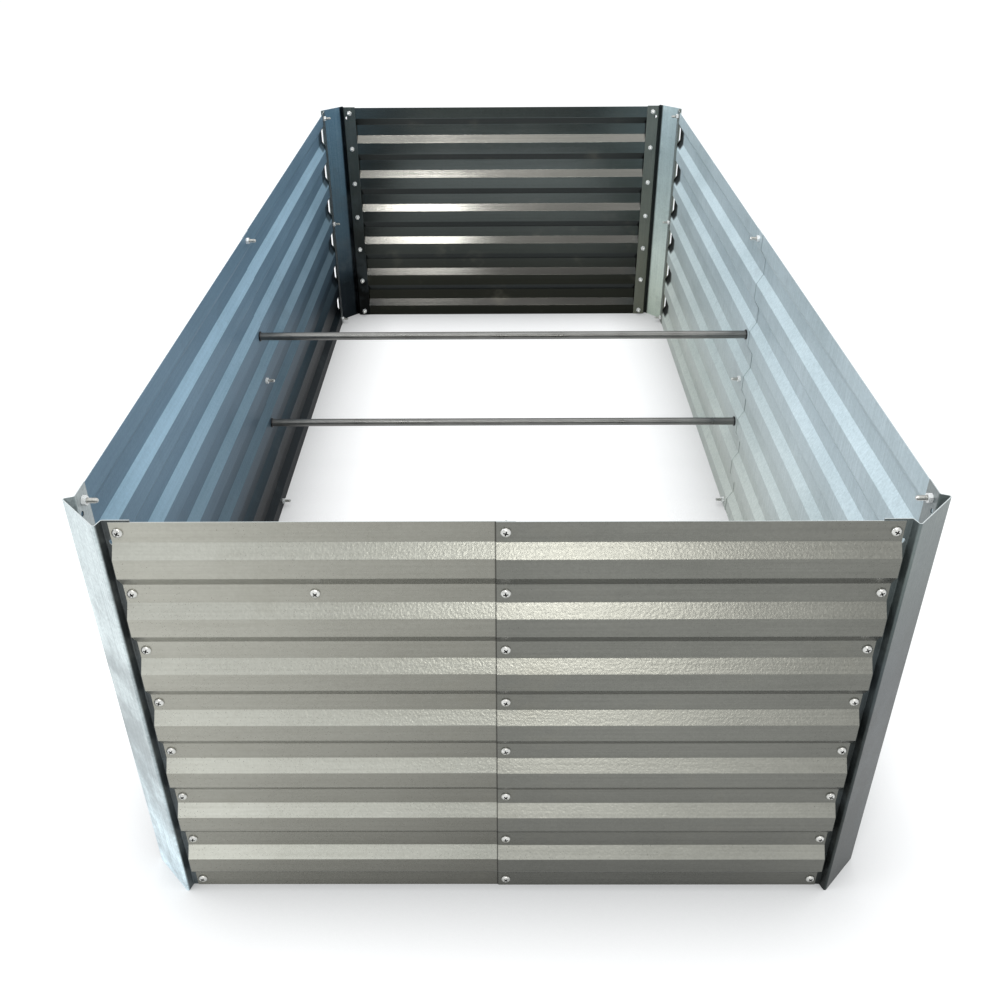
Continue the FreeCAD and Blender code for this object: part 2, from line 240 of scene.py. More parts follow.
def bent_line(points, radius):
    """The polyline with its corners bent to a radius: places and the directions across them."""
    along = [(b - a).normalized() for a, b in zip(points, points[1:])]
    line = [(points[0], Vector((-along[0].y, along[0].x)))]
    for corner, before, after in zip(points[1:], along, along[1:]):
        turn = before.angle_signed(after)
        reach = radius * math.tan(abs(turn) / 2)
        across = Vector((-before.y, before.x))
        side = -1 if turn > 0 else 1
        start = corner - before * reach
        centre = start + across * (radius * side)
        for step in range(BEND_STEPS + 1):
            swing = Matrix.Rotation(-turn * step / BEND_STEPS, 2)
            line.append((centre + swing @ (start - centre), swing @ across))
    line.append((points[-1], Vector((-along[-1].y, along[-1].x))))
    return line


def folded_strip(points, thickness, start, end, to_space):
    """A folded sheet as a closed mesh. The points give the sheet's outer face, and the sheet lies
    to their left; to_space turns a place in the section and one along the strip into a vertex."""
    middle = bent_line(mitred(points, thickness / 2), BEND_RADIUS)
    section = [place - across * (thickness / 2) for place, across in middle]
    section += [place + across * (thickness / 2) for place, across in reversed(middle)]
    mesh_code = bmesh.new()
    rings = []
    for reach in (start, end):
        rings.append([mesh_code.verts.new(to_space(place, reach)) for place in section])
    join_rings(mesh_code, rings[0], rings[1])
    count = len(section)
    for ring in rings:
        for i in range(count // 2 - 1):
            mesh_code.faces.new((ring[i], ring[i + 1], ring[count - 2 - i], ring[count - 1 - i]))
    return mesh_code


def cut_holes(piece, holes):
    """Drill round holes through a piece. Each hole is a point and the direction of its axis."""
    drill = bmesh.new()
    for point, axis in holes:
        turn = axis.to_track_quat("Z", "Y").to_matrix().to_4x4()
        bmesh.ops.create_cone(drill, cap_ends=True, segments=HOLE_SIDES, depth=DRILL_LENGTH,
                              radius1=HOLE_DIAMETER / 2, radius2=HOLE_DIAMETER / 2,
                              matrix=Matrix.Translation(point) @ turn)
    cut_away(piece, as_object("drill", drill))


def corrugated_face(wall, layer, bottom, top):
    """The outer face of a corrugated sheet from its lower to its upper edge: (depth, height)."""
    count, crest, slope = RIBS[wall]
    pitch = (top - bottom - 2 * EDGE_MARGIN) / count
    half_valley = (pitch - crest - 2 * slope) / 2
    deep = layer + RIB_DEPTH
    face = [(deep, bottom)]
    for rib in range(count):
        foot = bottom + EDGE_MARGIN + rib * pitch + half_valley
        face.append((deep, foot))
        face.append((layer, foot + slope))
        face.append((layer, foot + slope + crest))
        face.append((deep, foot + 2 * slope + crest))
    face.append((deep, top))
    return [Vector(point) for point in reversed(face)]


def make_sheet(node, material):
    """A corrugated sheet, built in its wall's own frame."""
    wall = node.split("_")[0]
    low, high = box_on_wall(node, wall)
    strip = folded_strip(corrugated_face(wall, low.y, low.z, high.z), SHEET_THICKNESS,
                         low.x, high.x, lambda place, along: (along, place.x, place.y))
    piece = new_piece(f"{node}_folded", strip, wall_matrix(wall), [material],
                      node)
    cut_holes(piece, holes_within(node))
    smooth_folds(piece)


def make_post(node, material):
    """A corner post, drawn from the ends of its two flanges inwards to the corner."""
    low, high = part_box(node)
    end_wall, long_wall = post_walls(node)
    x, into_x = (low.x, 1) if long_wall == "left" else (high.x, -1)
    y, into_y = (low.y, 1) if end_wall == "front" else (high.y, -1)
    end_flange = flange_depth(node, end_wall)
    long_flange = flange_depth(node, long_wall)
    reach = high.x - low.x
    points = [(long_flange, reach), (long_flange, FOLD_FOOT), (0, BEVEL_LEG),
              (BEVEL_LEG, 0), (FOLD_FOOT, end_flange), (reach, end_flange)]
    strip = folded_strip([Vector(point) for point in points], POST_THICKNESS, low.z, high.z,
                         lambda place, up: (x + into_x * place.x, y + into_y * place.y, up))
    piece = new_piece(f"{node}_folded", strip, Matrix.Identity(4), [material],
                      node)
    cut_holes(piece, holes_within(node) + spare_holes(node))
    smooth_folds(piece)


# ---------------------------------------------------------------- places of the fasteners


def bolt_places(node):
    """The wall of a bolt or nut node, the place of each of its fasteners there, and how deep
    behind the wall's outer plane the node starts."""
    wall = node.split("_")[0]
    low, high = box_on_wall(node, wall)
    rows = BOLT_ROWS[wall]
    if "_rod_" in node:
        rows = 2
    if "_lone_" in node:
        rows = 1
    middle = (low.x + high.x) / 2
    half = HEAD_RADIUS if "bolt" in node else NUT_WIDTH / math.sqrt(3)
    if rows == 1:
        heights = [(low.z + high.z) / 2]
    else:
        step = (high.z - low.z - 2 * half) / (rows - 1)
        heights = [low.z + half + row * step for row in range(rows)]
    return wall, [(middle, height) for height in heights], low.y


def hole_through(wall, x, depth, z):
    """A hole through a wall, as a point and the direction of its axis."""
    to_bed = wall_matrix(wall)
    return to_bed @ Vector((x, depth, z)), to_bed.to_3x3() @ Vector((0, 1, 0))


def holes_within(node):
    """The bolt holes that go through a node."""
    low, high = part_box(node)
    margin = Vector((RIB_DEPTH, RIB_DEPTH, 0))
    holes = []
    for bolts in BOLT_NODES:
        wall, places, head = bolt_places(bolts)
        for x, z in places:
            hole = hole_through(wall, x, head + HEAD_HEIGHT, z)
            if all(a - m < p < b + m for p, a, b, m in zip(hole[0], low, high, margin)):
                holes.append(hole)
    return holes


def post_walls(node):
    """The end wall and the long wall that a post holds."""
    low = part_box(node)[0]
    return "front" if low.y < 0 else "back", "left" if low.x < 0 else "right"


def post_bolts(node, wall):
    """The bolts that hold one wall's sheet to a post."""
    end_wall, long_wall = post_walls(node)
    other = long_wall if wall == end_wall else end_wall
    return f"{wall}_{other}_bolts"


def flange_depth(node, wall):
    """How deep behind a wall's outer plane the post's flange for it lies."""
    head = bolt_places(post_bolts(node, wall))[2]
    return head + HEAD_HEIGHT + SHEET_THICKNESS


def spare_holes(node):
    """The empty hole in each flange of a post."""
    holes = []
    for wall in post_walls(node):
        places, head = bolt_places(post_bolts(node, wall))[1:]
        x, z = places[-1]
        towards_corner = math.copysign(SPARE_HOLE_STEP, x)
        holes.append(hole_through(wall, x + towards_corner, head + HEAD_HEIGHT,
                                  z - SPARE_HOLE_DROP))
    return holes


# ---------------------------------------------------------------- turned pieces


def about_axis(radius, along, angle):
    """A place at a radius and an angle about the Y axis."""
    return radius * math.cos(angle), along, radius * math.sin(angle)


def turned(profile, sides):
    """A closed turned form about the Y axis. The profile is (radius, place along the axis), from
    the axis at one end round to the axis at the other, or a closed loop off the axis."""
    mesh_code = bmesh.new()
    rings = []
    for radius, along in profile:
        if radius == 0:
            rings.append([mesh_code.verts.new((0, along, 0))] * sides)
            continue
        angles = [2 * math.pi * i / sides for i in range(sides)]
        rings.append([mesh_code.verts.new(about_axis(radius, along, angle)) for angle in angles])
    pairs = list(zip(rings, rings[1:]))
    if profile[0][0] > 0:
        pairs.append((rings[-1], rings[0]))
    for a, b in pairs:
        join_rings(mesh_code, a, b)
    return mesh_code


def add_mesh(target, source, matrix):
    """Add a copy of a bmesh to another one."""
    mesh = bpy.data.meshes.new("copy")
    source.to_mesh(mesh)
    mesh.transform(matrix)
    target.from_mesh(mesh)
    bpy.data.meshes.remove(mesh)


def helical_ridge(start, end):
    """The ridge of a thread about the Y axis, sunk a little into the core that carries it. It
    rises and dies away over one turn."""
    mesh_code = bmesh.new()
    core = SHANK_RADIUS - THREAD_DEPTH
    steps = int((end - start) / THREAD_PITCH * TURN_STEPS)
    rows = []
    for i in range(steps + 1):
        angle = 2 * math.pi * i / TURN_STEPS
        along = start + THREAD_PITCH * i / TURN_STEPS
        fade = min(1, i / TURN_STEPS, (steps - i) / TURN_STEPS)
        row = []
        for reach, shift in ((-THREAD_SINK, -THREAD_FOOT), (THREAD_DEPTH * fade, 0),
                             (-THREAD_SINK, THREAD_FOOT)):
            place = about_axis(core + reach, along + shift * THREAD_PITCH, angle)
            row.append(mesh_code.verts.new(place))
        rows.append(row)
    for a, b in zip(rows, rows[1:]):
        join_rings(mesh_code, a, b)
    mesh_code.faces.new(rows[0])
    mesh_code.faces.new(reversed(rows[-1]))
    return mesh_code


def bolt_form(length):
    """A pan-head bolt about the Y axis, its head before y = 0 and its shank behind it."""
    core = SHANK_RADIUS - THREAD_DEPTH
    profile = [(0, -HEAD_HEIGHT)]
    for degrees in DOME_ANGLES:
        angle = math.radians(degrees)
        profile.append((HEAD_RADIUS * DOME_RADIUS * math.sin(angle),
                        -HEAD_HEIGHT * (DOME_FOOT + DOME_RISE * math.cos(angle))))
    profile += [(HEAD_RADIUS * across, -HEAD_HEIGHT * up) for across, up in HEAD_RIM]
    profile += [(SHANK_RADIUS, 0), (SHANK_RADIUS, SHANK_LENGTH), (core, CORE_START),
                (core, length - TIP_LENGTH), (core - TIP_TAPER, length), (0, length)]
    return turned(profile, BOLT_SIDES)


def recess_form():
    """The cross-shaped drive recess, wider at its mouth, for cutting into a bolt's head."""
    mesh_code = bmesh.new()
    rings = []
    for along, arm, half in (RECESS_MOUTH, RECESS_FLOOR):
        ring = []
        for quarter in range(4):
            turn = Matrix.Rotation(math.radians(90 * quarter), 3, "Y")
            for x, z in ((arm, -half), (arm, half), (half, half)):
                ring.append(mesh_code.verts.new(turn @ Vector((x, along, z))))
        rings.append(ring)
    order = sorted(range(len(rings[0])),
                   key=lambda i: math.atan2(rings[0][i].co.z, rings[0][i].co.x))
    mouth, floor = [[ring[i] for i in order] for ring in rings]
    join_rings(mesh_code, mouth, floor)
    mesh_code.faces.new(mouth)
    mesh_code.faces.new(reversed(floor))
    return mesh_code


def finished_bolt(length):
    """The bmesh of a bolt with its recess cut and its thread added."""
    body = as_object("bolt_body", bolt_form(length), [bolt_metal, recess_shade_metal])
    cut_away(body, as_object("bolt_recess_shade", recess_form(), [recess_shade_metal]), "TRANSFER")
    bolt = bmesh.new()
    bolt.from_mesh(body.data)
    remove_object(body)
    ridge = helical_ridge(THREAD_START, length - TIP_LENGTH)
    add_mesh(bolt, ridge, Matrix.Identity(4))
    ridge.free()
    return bolt


def finished_nut(height):
    """A hexagon nut about the Y axis from y = 0, with both faces chamfered to a circle."""
    mouth = NUT_BORE + BORE_CHAMFER_WIDTH
    mesh_code = bmesh.new()
    columns = []
    for i in range(NUT_SIDES):
        angle = 2 * math.pi * i / NUT_SIDES
        from_flat = (math.degrees(angle) + 30) % 60 - 30
        side = NUT_WIDTH / 2 / math.cos(math.radians(from_flat))
        drop = (side - NUT_FACE) * CHAMFER_SLOPE
        outline = ((NUT_BORE, BORE_CHAMFER_DEPTH), (mouth, 0), (NUT_FACE, 0), (side, drop),
                   (side, height - drop), (NUT_FACE, height), (mouth, height),
                   (NUT_BORE, height - BORE_CHAMFER_DEPTH))
        columns.append([mesh_code.verts.new(about_axis(radius, along, angle))
                        for radius, along in outline])
    for a, b in zip(columns, columns[1:] + columns[:1]):
        join_rings(mesh_code, a, b)
    return mesh_code


def make_fasteners(node, form, materials, seat):
    """All the bolts or nuts of a node, each turned its own way about its axis. The seat is the
    distance from the node's start to y = 0 of the form."""
    wall, places, start = bolt_places(node)
    group = bmesh.new()
    for x, z in places:
        turn = Matrix.Rotation(chance.uniform(0, 2 * math.pi), 4, "Y")
        add_mesh(group, form, Matrix.Translation((x, start + seat, z)) @ turn)
    piece = new_piece(f"{node}_set", group, wall_matrix(wall), materials, node)
    smooth_folds(piece)


def make_plugs(node, material):
    """The two flanged end plugs of a brace rod."""
    low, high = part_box(node)
    radius = (high.z - low.z) / 2
    middle = Vector((0, (low.y + high.y) / 2, (low.z + high.z) / 2))
    rounding = [(radius - FLANGE_ROUNDING, 0), (radius - ROUNDING_MIDDLE, ROUNDING_MIDDLE),
                (radius, FLANGE_ROUNDING)]
    profile = [(SHANK_RADIUS, 0)] + rounding
    profile += [(across, PLUG_FLANGE - along) for across, along in reversed(rounding)]
    profile += [(PLUG_RADIUS, PLUG_FLANGE), (PLUG_RADIUS, PLUG_LENGTH - PLUG_CHAMFER),
                (PLUG_RADIUS - PLUG_CHAMFER, PLUG_LENGTH), (SHANK_RADIUS, PLUG_LENGTH)]
    form = turned(profile, PLUG_SIDES)
    group = bmesh.new()
    for x, angle in ((low.x, -90), (high.x, 90)):
        place = Matrix.Translation(middle + Vector((x, 0, 0)))
        add_mesh(group, form, place @ Matrix.Rotation(math.radians(angle), 4, "Z"))
    form.free()
    piece = new_piece(f"{node}_turned", group, Matrix.Identity(4), [material], node)
    smooth_folds(piece)


# ---------------------------------------------------------------- materials


class Nodes:
    """Short ways to add and link the nodes of one material."""

    def __init__(self, name):
        self.material = bpy.data.materials.new(name)
        self.material.use_nodes = True
        self.tree = self.material.node_tree
        self.shader = self.tree.nodes["Principled BSDF"]
        self.place = self.add("ShaderNodeTexCoord").outputs["Object"]
        facing = self.add("ShaderNodeTexCoord").outputs["Normal"]
        self.sources = self.parts(self.place, "")
        self.sources.update(self.parts(facing, "facing_"))

    def add(self, kind, inputs=(), **settings):
        node = self.tree.nodes.new(kind)
        for key, setting in settings.items():
            setattr(node, key, setting)
        for socket, given in dict(inputs).items():
            if isinstance(given, bpy.types.NodeSocket):
                self.tree.links.new(given, node.inputs[socket])
            else:
                node.inputs[socket].default_value = given
        return node

    def parts(self, vector, prefix):
        """The X, Y and Z of a vector, by name."""
        parts = self.add("ShaderNodeSeparateXYZ", {"Vector": vector}).outputs
        return {prefix + axis.lower(): parts[axis] for axis in "XYZ"}

    def product(self, a, b):
        """Two colours multiplied, each part by itself."""
        product = self.add("ShaderNodeVectorMath", {0: a, 1: b}, operation="MULTIPLY")
        return product.outputs["Vector"]

    def stretched(self, scale):
        mapping = self.add("ShaderNodeMapping", {"Vector": self.place, "Scale": scale})
        return mapping.outputs["Vector"]

    def noise(self, vector, scale, detail=3.0, roughness=0.55):
        inputs = {"Vector": vector, "Scale": scale, "Detail": detail, "Roughness": roughness}
        return self.add("ShaderNodeTexNoise", inputs).outputs["Fac"]

    def grains(self, scale):
        """A random value for each crystal of the zinc."""
        cells = self.add("ShaderNodeTexVoronoi", {"Vector": self.place, "Scale": scale})
        return self.add("ShaderNodeSeparateColor", {"Color": cells.outputs["Color"]}).outputs["Red"]

    def math(self, operation, a, b=0.0, c=0.0):
        return self.add("ShaderNodeMath", {0: a, 1: b, 2: c}, operation=operation).outputs["Value"]

    def weighted(self, *parts):
        """The sum of some values, each with its weight."""
        total = 0.0
        for part, weight in parts:
            total = self.math("MULTIPLY_ADD", part, weight, total)
        return total

    def blend(self, factor, first, second):
        """From the first colour to the second. A mix node also has sockets for numbers and
        vectors: those for colours are 6 and 7, and 2 on its other side."""
        first, second = [colour if isinstance(colour, bpy.types.NodeSocket) else (*colour, 1.0)
                         for colour in (first, second)]
        mix = self.add("ShaderNodeMix", {0: factor, 6: first, 7: second}, data_type="RGBA")
        return mix.outputs[2]

    def range(self, given, low, high, to_low, to_high):
        inputs = {"Value": given, "From Min": low, "From Max": high,
                  "To Min": to_low, "To Max": to_high}
        return self.add("ShaderNodeMapRange", inputs).outputs["Result"]

    def ramp(self, source, start, end):
        """From 0 to 1 along an axis, or over the way that a face looks."""
        return self.range(self.sources[source], start, end, 0.0, 1.0)

    def bump(self, height, strength, distance, before=None):
        inputs = {"Height": height, "Strength": strength, "Distance": distance}
        if before:
            inputs["Normal"] = before
        return self.add("ShaderNodeBump", inputs).outputs["Normal"]

    def finish(self, **sockets):
        for socket, given in sockets.items():
            target = self.shader.inputs[socket.replace("_", " ")]
            if isinstance(given, bpy.types.NodeSocket):
                self.tree.links.new(given, target)
            else:
                target.default_value = given
        return self.material


def tinted(n, tints):
    """The colour by which tints change a metal from place to place. Each tint has a factor and
    ramps, and holds where all its ramps have reached their end. A ramp is a place along an axis
    or the way that a face looks, with its start and its end."""
    total = (1.0, 1.0, 1.0)
    for factor, *ramps in tints:
        if isinstance(factor, float):
            factor = (factor, factor, factor)
        share = 1.0
        for ramp in ramps:
            share = n.math("MULTIPLY", share, n.ramp(*ramp))
        total = n.product(total, n.blend(share, (1.0, 1.0, 1.0), factor))
    return total


def zinc(name, dull, bright, stain, metallic, gloss, along, tints=(), spread=0.35, mottle=0.0,
         grain=0.25, shine=0.25, plain=None):
    """Hot-dip galvanised sheet: fine crystals that sparkle, rolling streaks along one axis, and
    cloudy oxide. Gloss is the middle roughness, stain the colour of the oxide patches, mottle how
    strong the larger ones are, grain how deep the crystals, and shine the mirroring beside the
    metal's own. A smaller spread gives more contrast of dull and bright. Faces that look up take
    the colour of a bare cut edge with a painted highlight. Where the ramp of plain ends, the sheet
    is new zinc with painted light on its faces that look up, painted shade on those that look
    down, and darker towards the ground."""
    n = Nodes(name)
    streak_scale = {"x": (0.5, 40, 40), "y": (40, 0.5, 40), "z": (40, 40, 0.5)}[along]
    crystals = n.grains(scale=330)
    grit = n.noise(n.place, scale=420, detail=2.0, roughness=0.6)
    clouds = n.noise(n.place, scale=3.2, detail=4.0)
    streaks = n.noise(n.stretched(streak_scale), scale=8.0, detail=5.0, roughness=0.7)
    patches = n.noise(n.place, scale=13, detail=4.0, roughness=0.65)
    spots = n.noise(n.place, scale=11, detail=5.0, roughness=0.6)
    shade = n.weighted((grit, 0.20), (crystals, 0.10), (clouds, 0.8), (streaks, 0.55))
    level = n.range(shade, MIDDLE_SHADE - spread, MIDDLE_SHADE + spread, 0.0, 1.0)
    tint = tinted(n, tints)
    colour = n.product(n.blend(level, dull, bright), tint)
    colour = n.blend(n.range(spots, 0.46, 0.60, 0.0, mottle), colour, stain)
    if plain:
        # New zinc, with painted light on faces that look up, painted shade on those that look down,
        # and darker towards the ground.
        plain_zinc_with_painted_relief = n.product(n.blend(level, *NEW_ZINC), tinted(n, PAINTED_RELIEF_AND_LOW_DARKENING))
        colour = n.blend(n.ramp(*plain), colour, plain_zinc_with_painted_relief)
    colour = n.blend(n.range(patches, 0.58, 0.85, 0.0, 0.30), colour, stain)
    # The faces that look up, the upper cut edges, take a bare edge's colour, lightened as a painted
    # highlight.
    colour = n.blend(n.ramp(*UPPER_EDGE), colour, CUT_EDGE_AND_HIGHLIGHT)
    rough = n.math("MULTIPLY_ADD", clouds, ROUGHENING, gloss - ROUGHENING)
    rough = n.math("MULTIPLY_ADD", grit, ROUGHENING, rough)
    waves = n.bump(n.noise(n.place, scale=2.6, detail=1.0), strength=0.3, distance=3.0 * MM)
    grains = n.bump(n.noise(n.place, scale=340, detail=1.0), grain, 0.5 * MM, before=waves)
    streaked = n.bump(streaks, strength=0.10, distance=0.6 * MM, before=grains)
    return n.finish(Base_Color=colour, Roughness=rough, Normal=streaked, Metallic=metallic,
                    Specular_IOR_Level=shine)


def plated(name, dull, bright, gloss, metallic=0.9):
    """Bright zinc plating on turned and pressed pieces, with fine scratches and dull patches."""
    n = Nodes(name)
    patches = n.noise(n.place, scale=160)
    scratches = n.noise(n.stretched((1, 1, 6)), scale=700, detail=4.0, roughness=0.7)
    level = n.range(n.weighted((patches, 0.6), (scratches, 0.5)), 0.35, 0.75, 0, 1)
    rough = n.range(patches, 0.3, 0.7, gloss - 0.06, gloss + 0.1)
    marks = n.bump(scratches, strength=0.15, distance=0.2 * MM)
    return n.finish(Base_Color=n.blend(level, dull, bright), Roughness=rough, Normal=marks,
                    Metallic=metallic)


def rod_steel(name):
    """Drawn tube: long streaks, brown-grey patches and a satin face."""
    n = Nodes(name)
    draw_lines = n.noise(n.stretched((2, 90, 90)), scale=8, detail=4.0, roughness=0.6)
    patches = n.noise(n.stretched((6, 1, 1)), scale=4)
    level = n.range(n.weighted((patches, 0.5), (draw_lines, 0.6)), 0.3, 0.8, 0, 1)
    colour = n.blend(level, (0.10, 0.10, 0.095), (0.24, 0.24, 0.23))
    rough = n.range(patches, 0.3, 0.7, 0.26, 0.42)
    lines = n.bump(draw_lines, strength=0.2, distance=0.3 * MM)
    return n.finish(Base_Color=colour, Roughness=rough, Normal=lines, Metallic=0.9)


def black_fitting(name):
    """Blackened steel, worn to grey in places."""
    n = Nodes(name)
    wear = n.noise(n.place, scale=240, detail=5.0, roughness=0.65)
    colour = n.blend(n.range(wear, 0.5, 0.75, 0, 1), (0.02, 0.02, 0.022), (0.10, 0.10, 0.10))
    rough = n.range(wear, 0.3, 0.7, 0.55, 0.38)
    marks = n.bump(wear, strength=0.2, distance=0.4 * MM)
    return n.finish(Base_Color=colour, Roughness=rough, Normal=marks, Metallic=0.7)


WARM_DIRT = (0.20, 0.19, 0.15)
COLD_DIRT = (0.10, 0.12, 0.13)
# A bare cut edge's colour, lightened as a painted highlight.
CUT_EDGE_AND_HIGHLIGHT = (0.62, 0.66, 0.66)
NEW_ZINC = (0.26, 0.28, 0.285), (0.44, 0.46, 0.465)
MIDDLE_SHADE = 0.82            # of the sum of noises that shades the zinc
ROUGHENING = 0.16              # by the clouds of oxide, and by the grit

# Ramps over the way that a face looks.
UPPER_EDGE = "facing_z", 0.8, 0.95
LOOKS_UP = "facing_z", 0.2, 0.45
LOOKS_DOWN = "facing_z", -0.2, -0.45
NOT_UP = "facing_z", 0.4, 0.15
LOOKS_BACK = "facing_y", -0.2, 0.2
LOOKS_RIGHT = "facing_x", -0.2, 0.2
BACK_FLAT = "facing_y", -0.90, -0.96           # the inner flats of the back wall
RIGHT_INNER = "facing_x", -0.2, -0.5           # the inner face of the right wall
# Ramps over place.
TO_BACK = "y", -0.1, 0.8
BEHIND_FLANGE = "y", 0.783, 0.797              # from the edge of the back post's flange on
RIGHT_HOLLOW = "x", 0.4400, 0.4420             # into the hollow ribs of the right wall
PAST_RIGHT_BEVEL = "x", 0.4003, 0.3985         # past a right post's bevel, by its end wall
PAST_BACK_BEVEL = "y", 0.8503, 0.8485          # past a back post's bevel, by its long wall
# A narrow band along the edge of a right post's bevel, from both its sides, where the groove's
# painted shade reaches onto the bevel.
RIGHT_EDGE_BAND = ("x", 0.409, 0.406), ("x", 0.3965, 0.3985)
# Painted light on a plain face that looks up, painted shade on one that looks down, and darker
# towards the ground.
PAINTED_RELIEF_AND_LOW_DARKENING = (1.45, LOOKS_UP), (0.68, LOOKS_DOWN), (0.82, ("z", 0.50, 0.0))


def mirrored(ramp, side):
    """A ramp as it is, or on the bed's other side where side is -1."""
    source, start, end = ramp
    return source, start * side, end * side


def painted_shade_behind_flange(side, dark):
    """Painted shade in the hollow ribs of a long wall, where they pass behind the flange of the
    back post."""
    return dark, BEHIND_FLANGE, mirrored(RIGHT_HOLLOW, side), mirrored(RIGHT_INNER, side)


def make_sheet_metals():
    """The front sheets are darker towards the ground, but not on their upward slopes, and the left
    one also towards the seam, with a painted shadow along the lap's edge. Their upward slopes
    carry painted light, on the right one most near the seam, and their downward slopes painted
    shade. The other walls are darker towards the ground on their inner faces, the left and the
    back one nearly black there as painted shade. The long walls have painted shade on the inner
    faces that don't look up and in the hollow ribs behind the back posts' flanges. The back wall's
    inner face is painted dark as shade, with painted light on its upward slopes and painted shade
    on the downward ones. Outside they are new zinc."""
    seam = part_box("front_right_sheet")[0].x
    # Painted shade on the inner faces that don't look up, near black towards the ground, and in the
    # hollow ribs behind the flange.
    left = zinc("zinc_left", (0.27, 0.42, 0.53), (0.52, 0.72, 0.87), COLD_DIRT,
                metallic=0.15, gloss=0.45, along="y", shine=0.04,
                tints=[((0.47, 0.50, 0.54), NOT_UP),
                       (0.03, ("z", 0.44, 0.10)),
                       (1.1, TO_BACK),
                       painted_shade_behind_flange(-1, 0.3)],
                plain=mirrored(LOOKS_RIGHT, -1))
    # Painted shade on the inner faces that don't look up and in the hollow ribs behind the flange,
    # and darker towards the ground.
    right = zinc("zinc_right", (0.47, 0.57, 0.60), (0.80, 0.91, 0.96), COLD_DIRT,
                 metallic=0.15, gloss=0.50, along="z", spread=0.27,
                 tints=[(0.80, NOT_UP),
                        ((0.96, 0.88, 0.77), ("z", 0.42, 0.08)),
                        (1.2, TO_BACK),
                        painted_shade_behind_flange(1, 0.05)],
                 plain=LOOKS_RIGHT)
    # Painted shade on the downward slopes, painted light on the upward ones, most near the ground.
    front_left = zinc("zinc_front_left", (0.30, 0.292, 0.25), (0.455, 0.448, 0.395), WARM_DIRT,
                      metallic=0.7, gloss=0.30, along="x", grain=0.36,
                      tints=[(0.61, ("x", -0.36, -0.02)),
                             (0.60, ("z", 0.45, 0.0), NOT_UP),
                             (0.85, LOOKS_DOWN),
                             ((1.14, 1.17, 1.20), LOOKS_UP),
                             (1.40, ("z", 0.5, 0.05), LOOKS_UP),
                             # A painted shadow beside the lap's edge.
                             (0.25, ("x", seam - 2.0 * MM, seam - 0.8 * MM))])
    # Painted shade on the downward slopes, painted light on the upward ones, most near the seam and
    # near the ground.
    front_right = zinc("zinc_front_right", (0.12, 0.12, 0.107), (0.215, 0.215, 0.192), WARM_DIRT,
                       metallic=0.7, gloss=0.30, along="x", grain=0.36,
                       tints=[(0.8, ("z", 0.45, 0.0), NOT_UP),
                              (0.85, LOOKS_DOWN),
                              (1.25, LOOKS_UP),
                              (1.30, ("x", 0.25, 0.02), LOOKS_UP),
                              (1.30, ("z", 0.5, 0.05), LOOKS_UP)])
    # The inner face is painted dark as shade, near black towards the ground, with painted light on
    # the upward slopes and painted shade on the downward ones.
    back = zinc("zinc_back", (0.085, 0.102, 0.100), (0.145, 0.165, 0.162), WARM_DIRT,
                metallic=0.8, gloss=0.15, along="x", grain=0.02,
                tints=[((0.13, 0.12, 0.09), ("z", 0.50, 0.10), BACK_FLAT),
                       ((2.3, 1.95, 1.8), LOOKS_UP),
                       (0.25, ("z", 0.50, 0.12), LOOKS_UP),
                       (0.25, LOOKS_DOWN)],
                plain=LOOKS_BACK)
    return {
        "front_left_sheet": front_left,
        "front_right_sheet": front_right,
        "back_sheet": back,
        "left_back_sheet": left,
        "left_front_sheet": left,
        "right_back_sheet": right,
        "right_front_sheet": right,
    }


def post_metal(node, dull, bright, groove_shade, tints=(), mottle=0.3, shine=0.25):
    """The zinc of a post, with painted shade on its flanges and in the grooves beside its bevel: on
    the outer side of a front post, and on the inner side of a back one, where it also darkens the
    edge of the bevel."""
    end_wall, long_wall = post_walls(node)
    side = -1 if long_wall == "left" else 1
    end = -1 if end_wall == "front" else 1
    by_end_wall = mirrored(PAST_RIGHT_BEVEL, side)
    by_long_wall = mirrored(PAST_BACK_BEVEL, end)
    # Painted shade in the grooves beside the bevel and on the flanges.
    if end_wall == "front":
        painted_shade = [(groove_shade, by_end_wall, ("facing_y", 0.2, 0.0)),
                (groove_shade, by_long_wall, mirrored(("facing_x", -0.2, 0.0), side))]
    else:
        painted_shade = [(groove_shade, by_end_wall), (groove_shade, by_long_wall),
                (0.06, *[mirrored(ramp, side) for ramp in RIGHT_EDGE_BAND])]
    return zinc(f"zinc_{node}", dull, bright, COLD_DIRT, metallic=0.5, gloss=0.34, along="z",
                tints=painted_shade + list(tints), spread=0.2, mottle=mottle, shine=shine,
                plain=LOOKS_BACK)


SHEET_METAL = make_sheet_metals()
# The posts are lit and shaded copies of one zinc: painted light on the left front and right back
# posts, painted shade on the right front and left back ones, which grow darker towards the ground.
# The left front post is brighter towards the ground, the right back one darker.
POST_METAL = {
    "front_left_post": post_metal(
        "front_left_post", (0.30, 0.355, 0.365), (0.74, 0.81, 0.81), groove_shade=0.10,
        tints=[((1.5, 1.6, 1.7), ("z", 0.25, 0.0))], mottle=0.5),
    "front_right_post": post_metal(
        "front_right_post", (0.13, 0.16, 0.155), (0.23, 0.26, 0.25), groove_shade=0.5,
        tints=[(0.20, ("z", 0.56, 0.34))], shine=0.08),
    "back_left_post": post_metal(
        "back_left_post", (0.12, 0.21, 0.29), (0.22, 0.34, 0.43), groove_shade=(0.55, 0.40, 0.29),
        tints=[(0.04, ("z", 0.52, 0.10))], shine=0.1),
    "back_right_post": post_metal(
        "back_right_post", (0.54, 0.67, 0.68), (0.78, 0.92, 0.94), groove_shade=(0.24, 0.22, 0.195),
        tints=[((0.85, 0.80, 0.68), ("z", 0.50, 0.05))], mottle=0.08),
}

